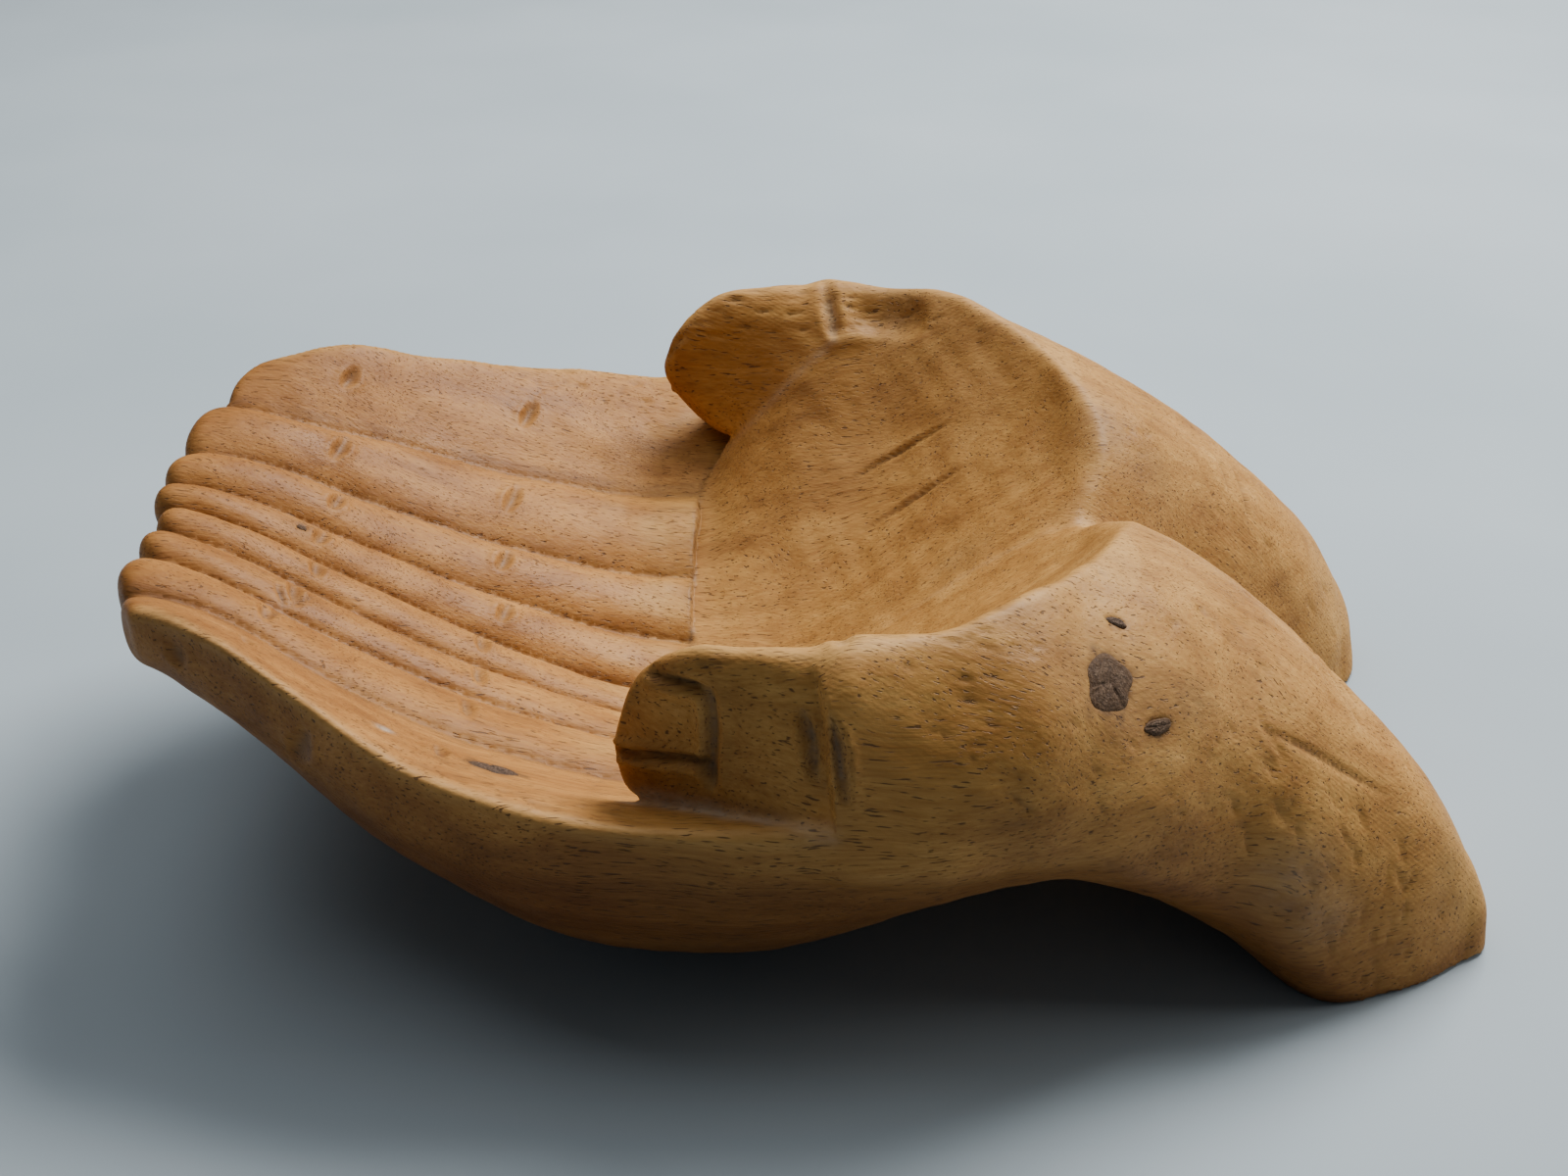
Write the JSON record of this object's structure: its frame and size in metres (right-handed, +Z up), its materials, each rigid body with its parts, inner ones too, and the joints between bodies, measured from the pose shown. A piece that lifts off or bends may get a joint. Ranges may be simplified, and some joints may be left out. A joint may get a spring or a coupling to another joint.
{
  "type": "wooden bowl",
  "caption": "Shallow bowl carved from one wood block as two cupped hands, standing on a flat under the palms and on two cut wrists.",
  "frame": {"origin": "middle of the bounding box, on the plane that the bowl stands on", "axes": "+X from the fingertips to the wrists, +Y across the bowl from the near hand to the far hand, +Z up"},
  "size_m": [0.3083, 0.2388, 0.0964],
  "materials": {
    "wood": "golden-brown hardwood, hand-rubbed satin oil and wax",
    "dark_knot": "dark dead knot, rough and dry",
    "grey_knot": "grey-brown knot, sanded flush"
  },
  "bodies": {
    "root": {"carved_hands": "wood", "knot_heel": "dark_knot", "knot_index_finger": "grey_knot", "knot_eye_upper": "grey_knot", "knot_eye_lower": "dark_knot", "pin_knot_finger": "dark_knot"}
  },
  "joints": []
}
